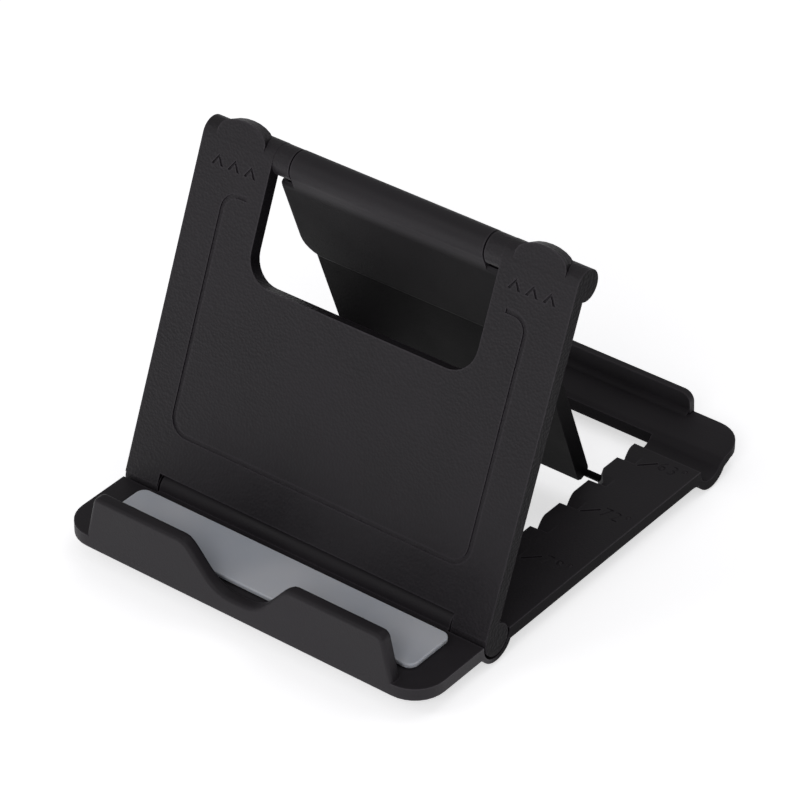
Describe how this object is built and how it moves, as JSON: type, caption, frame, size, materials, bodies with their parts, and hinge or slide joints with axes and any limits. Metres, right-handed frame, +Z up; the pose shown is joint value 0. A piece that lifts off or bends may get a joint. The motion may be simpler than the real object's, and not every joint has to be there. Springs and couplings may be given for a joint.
{
  "type": "folding phone stand",
  "caption": "Folding desk stand for a phone or small tablet, with a padded ledge and lip, a reclining back panel and a strut that catches in notches.",
  "frame": {"origin": "centre of the bounding box's bottom, on the surface that the feet stand on", "axes": "X along the hinges, -Y the front where the lip is, +Y the back, +Z up"},
  "size_m": [0.08, 0.0962, 0.0697],
  "materials": {
    "charcoal_plastic": "fine grain, matte",
    "grey_silicone": "smooth, slightly translucent",
    "steel": "plain",
    "black_rubber": "matte"
  },
  "bodies": {
    "frame": {"base": "charcoal_plastic", "ledge_pad": "grey_silicone", "lower_hinge_pin_left": "steel", "lower_hinge_pin_right": "steel", "foot_front_left": "black_rubber", "foot_front_right": "black_rubber", "foot_rear_left": "black_rubber", "foot_rear_right": "black_rubber"},
    "panel": {"back_panel": "charcoal_plastic", "upper_hinge_rod": "steel"},
    "strut": {"support_strut": "charcoal_plastic"}
  },
  "joints": [
    {"name": "panel_fold", "type": "hinge", "parent": "frame", "child": "panel", "pos_m": [0, -0.0274, 0.0054], "axis": [1, 0, 0], "range_deg": [-68, 22]},
    {"name": "strut_swing", "type": "hinge", "parent": "panel", "child": "strut", "pos_m": [0, -0.00392, 0.06445], "axis": [1, 0, 0], "range_deg": [-42.4, 13.8]}
  ],
  "couplings": [
    {"joint": "strut_swing", "follows": "panel_fold", "ratio": 0.62206}
  ]
}
